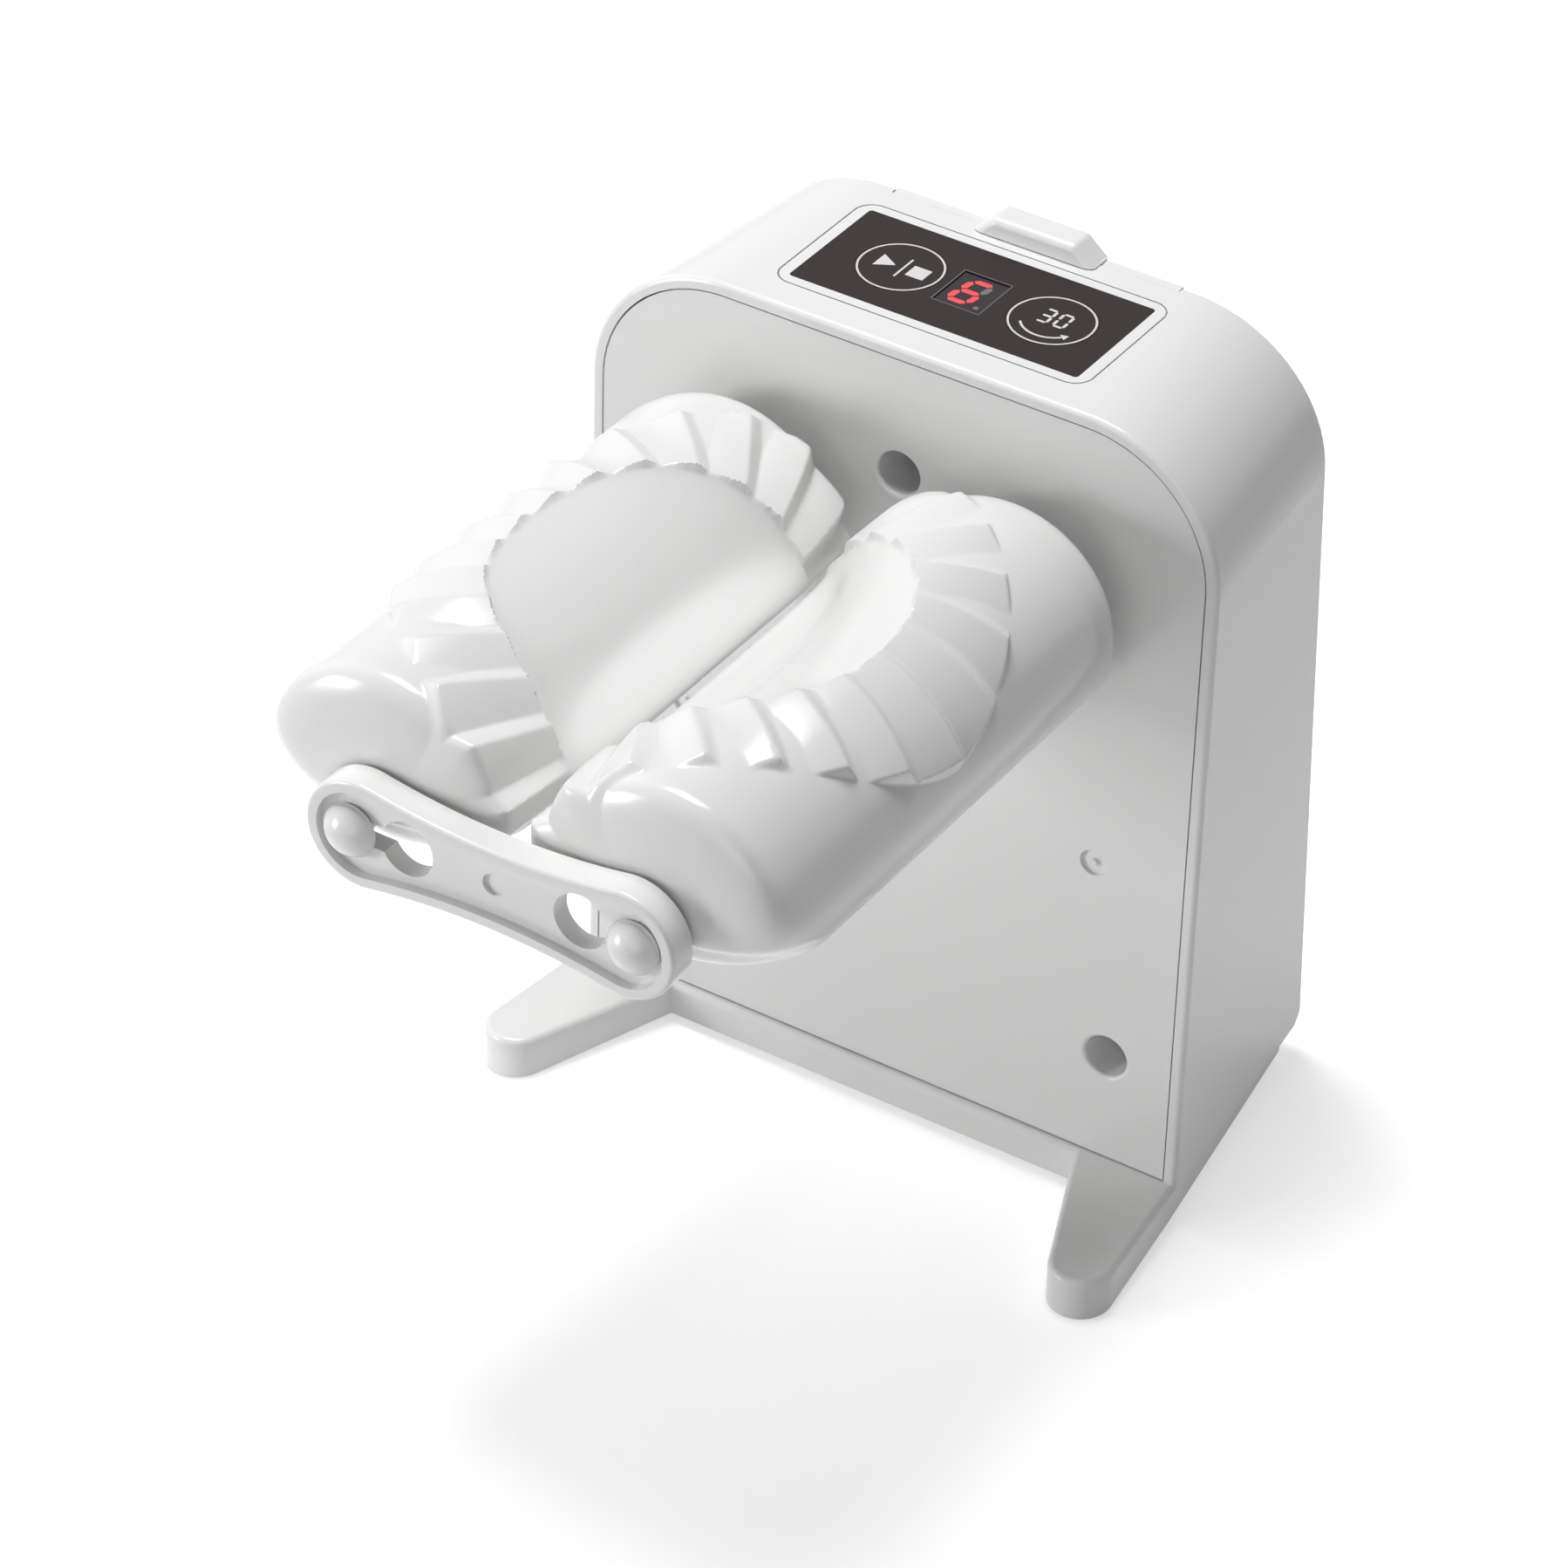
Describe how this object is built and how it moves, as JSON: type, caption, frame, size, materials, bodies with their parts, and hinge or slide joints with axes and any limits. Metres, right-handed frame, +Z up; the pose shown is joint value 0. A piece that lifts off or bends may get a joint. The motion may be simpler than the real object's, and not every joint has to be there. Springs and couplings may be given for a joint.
{
  "type": "electric dumpling press",
  "caption": "Upright battery-driven kitchen press whose paired roller moulds turn inwards to close, pleat and seal dumplings, with a touch panel on top.",
  "frame": {"origin": "centre of the whole press on the plane of its rubber feet", "axes": "+Z up; the moulds and feet point to -Y, the battery door to +Y; +X is to the right of someone who faces the moulds"},
  "size_m": [0.1518, 0.2092, 0.1895],
  "materials": {
    "housing_white": "gloss",
    "panel_white": "gloss",
    "bezel_white": "gloss",
    "mould_white": "gloss",
    "label_black": "gloss",
    "display_dark": "gloss",
    "inner_white": "satin",
    "gear_plastic": "satin",
    "plate_steel": "brushed",
    "screw_steel": "satin",
    "shaft_steel": "satin",
    "bush_brass": "satin",
    "seal_rubber": "matte",
    "feet_rubber": "matte",
    "motor_steel": "satin",
    "black_plastic": "matte",
    "case_grey": "matte",
    "board_green": "satin",
    "cell_jacket": "satin",
    "contact_nickel": "satin",
    "wire_red": "satin"
  },
  "bodies": {
    "press": {"housing": "housing_white", "front_panel": "panel_white", "panel_screws": "screw_steel", "rubber_feet": "feet_rubber", "control_bezel": "bezel_white", "label_film": "label_black", "led_display": "display_dark", "control_board": "board_green", "board_screws": "screw_steel", "tact_switches": "black_plastic", "gear_plate": "plate_steel", "plate_screws": "screw_steel", "front_bushes": "bush_brass", "rear_bushes": "bush_brass", "shaft_seals": "seal_rubber", "gear_pins": "shaft_steel", "gearmotor_case": "case_grey", "gearmotor_cover": "case_grey", "gearmotor_screws": "screw_steel", "motor_can": "motor_steel", "motor_end_cap": "black_plastic", "motor_terminals": "contact_nickel", "motor_wires": "wire_red", "battery_cells": "cell_jacket", "contact_plates": "contact_nickel", "contact_springs": "contact_nickel"},
    "drive_left": {"drive_shaft_left": "shaft_steel", "output_gear_left": "gear_plastic", "shaft_clip_left": "screw_steel"},
    "drive_right": {"drive_shaft_right": "shaft_steel", "output_gear_right": "gear_plastic", "shaft_clip_right": "screw_steel"},
    "idler_left": {"idler_gear_left": "gear_plastic"},
    "idler_right": {"idler_gear_right": "gear_plastic"},
    "reduction": {"reduction_gear": "gear_plastic"},
    "pinion": {"motor_pinion": "bush_brass", "gearmotor_shaft": "shaft_steel"},
    "mould_left": {"mould_left": "mould_white"},
    "mould_right": {"mould_right": "mould_white"},
    "link_bar": {"link_bar": "mould_white"},
    "key_left": {"key_face_left": "label_black", "key_stem_left": "inner_white"},
    "key_right": {"key_face_right": "label_black", "key_stem_right": "inner_white"},
    "battery_door": {"battery_door": "housing_white"}
  },
  "joints": [
    {"name": "drive_left_spin", "type": "hinge", "parent": "press", "child": "drive_left", "pos_m": [-0.0315, 0.04453, 0.1405], "axis": [0, 1, 0], "continuous": true},
    {"name": "drive_right_spin", "type": "hinge", "parent": "press", "child": "drive_right", "pos_m": [0.0315, 0.04453, 0.1405], "axis": [0, 1, 0], "continuous": true},
    {"name": "idler_left_spin", "type": "hinge", "parent": "press", "child": "idler_left", "pos_m": [-0.008, 0.04453, 0.1405], "axis": [0, 1, 0], "continuous": true},
    {"name": "idler_right_spin", "type": "hinge", "parent": "press", "child": "idler_right", "pos_m": [0.008, 0.04453, 0.1405], "axis": [0, 1, 0], "continuous": true},
    {"name": "reduction_spin", "type": "hinge", "parent": "press", "child": "reduction", "pos_m": [-0.0196, 0.04453, 0.12141], "axis": [0, 1, 0], "continuous": true},
    {"name": "pinion_spin", "type": "hinge", "parent": "press", "child": "pinion", "pos_m": [-0.0196, 0.04453, 0.09891], "axis": [0, 1, 0], "continuous": true},
    {"name": "mould_left_pull", "type": "slide", "parent": "drive_left", "child": "mould_left", "axis": [0, -1, 0], "range_m": [0, 0.035]},
    {"name": "mould_right_pull", "type": "slide", "parent": "drive_right", "child": "mould_right", "axis": [0, -1, 0], "range_m": [0, 0.035]},
    {"name": "link_bar_pull", "type": "slide", "parent": "press", "child": "link_bar", "axis": [0, -1, 0], "range_m": [0, 0.035]},
    {"name": "key_left_press", "type": "slide", "parent": "press", "child": "key_left", "axis": [0, 0, -1], "range_m": [0, 0.0003], "stiffness_N_per_m": 2000, "springref_m": -0.0002},
    {"name": "key_right_press", "type": "slide", "parent": "press", "child": "key_right", "axis": [0, 0, -1], "range_m": [0, 0.0003], "stiffness_N_per_m": 2000, "springref_m": -0.0002},
    {"name": "battery_door_hinge", "type": "hinge", "parent": "press", "child": "battery_door", "pos_m": [0, 0.0968, 0.10151], "axis": [-1, 0, 0], "range_deg": [0, 60]}
  ],
  "couplings": [
    {"joint": "drive_right_spin", "follows": "drive_left_spin", "ratio": -1},
    {"joint": "idler_left_spin", "follows": "drive_left_spin", "ratio": -1.9375},
    {"joint": "idler_right_spin", "follows": "drive_left_spin", "ratio": 1.9375},
    {"joint": "reduction_spin", "follows": "drive_left_spin", "ratio": -2.2143},
    {"joint": "pinion_spin", "follows": "drive_left_spin", "ratio": 6.0893},
    {"joint": "mould_right_pull", "follows": "mould_left_pull", "ratio": 1},
    {"joint": "link_bar_pull", "follows": "mould_left_pull", "ratio": 1}
  ]
}
